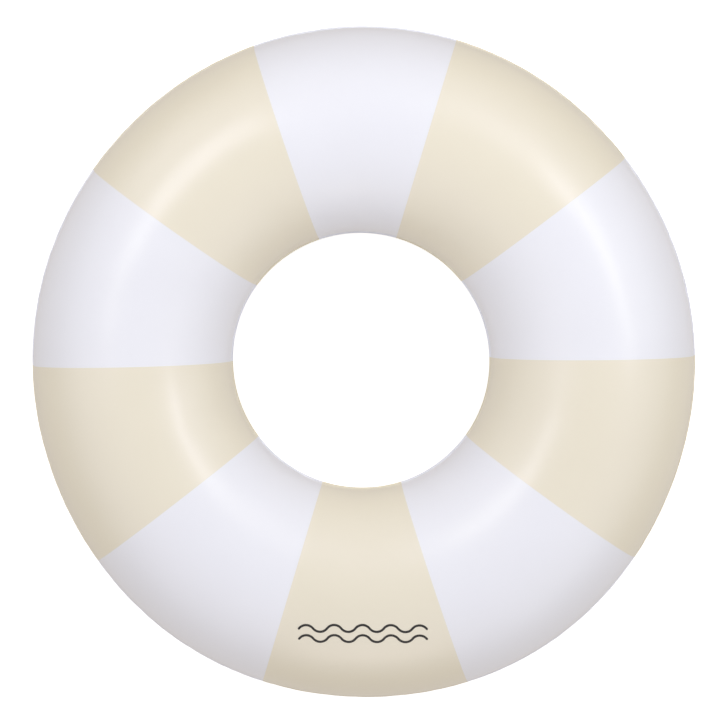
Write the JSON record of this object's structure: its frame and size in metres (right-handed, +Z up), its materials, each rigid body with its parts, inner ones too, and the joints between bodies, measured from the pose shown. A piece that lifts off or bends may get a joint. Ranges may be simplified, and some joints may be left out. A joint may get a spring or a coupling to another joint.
{
  "type": "inflatable swim ring",
  "caption": "Inflatable swim ring: a round tube in alternating sand and white panels, welded seams, a plain wave print and a push-in valve with a tethered plug.",
  "frame": {"origin": "on the floor, under the centre of the ring", "axes": "+Z up along the ring's own axis, -Y towards the printed mark, +Y towards the side with the valve"},
  "size_m": [0.9, 0.9, 0.2718],
  "materials": {
    "film_sand": "gloss",
    "film_white": "gloss",
    "valve_soft_pvc": "satin",
    "flap_film": "satin",
    "print_ink": "satin"
  },
  "bodies": {
    "ring": {"upper_film_white_1": "film_white", "upper_film_sand_1": "film_sand", "upper_film_white_2": "film_white", "upper_film_sand_2": "film_sand", "upper_film_white_3": "film_white", "upper_film_sand_3": "film_sand", "upper_film_white_4": "film_white", "upper_film_sand_4": "film_sand", "upper_film_white_5": "film_white", "upper_film_sand_5": "film_sand", "lower_film_white_1": "film_white", "lower_film_sand_1": "film_sand", "lower_film_white_2": "film_white", "lower_film_sand_2": "film_sand", "lower_film_white_3": "film_white", "lower_film_sand_3": "film_sand", "lower_film_white_4": "film_white", "lower_film_sand_4": "film_sand", "lower_film_white_5": "film_white", "lower_film_sand_5": "film_sand", "valve_flange": "valve_soft_pvc", "valve_skirt": "valve_soft_pvc", "wave_print": "print_ink"},
    "valve_stem": {"valve_stem": "valve_soft_pvc", "plug_strap": "valve_soft_pvc"},
    "valve_plug": {"valve_plug": "valve_soft_pvc"},
    "check_flap": {"check_flap": "flap_film"}
  },
  "joints": [
    {"name": "valve_push", "type": "slide", "parent": "ring", "child": "valve_stem", "axis": [0, 0.8192, -0.5736], "range_m": [0, 0.012], "deforming": ["valve_skirt"]},
    {"name": "plug_flip", "type": "hinge", "parent": "valve_stem", "child": "valve_plug", "pos_m": [0, 0.41849, 0.04962], "axis": [-1, 0, 0], "range_deg": [0, 135], "deforming": ["plug_strap"]},
    {"name": "flap_swing", "type": "hinge", "parent": "valve_stem", "child": "check_flap", "pos_m": [0, 0.40759, 0.06213], "axis": [1, 0, 0], "range_deg": [0, 40], "stiffness_Nm_per_rad": 0.0002}
  ]
}
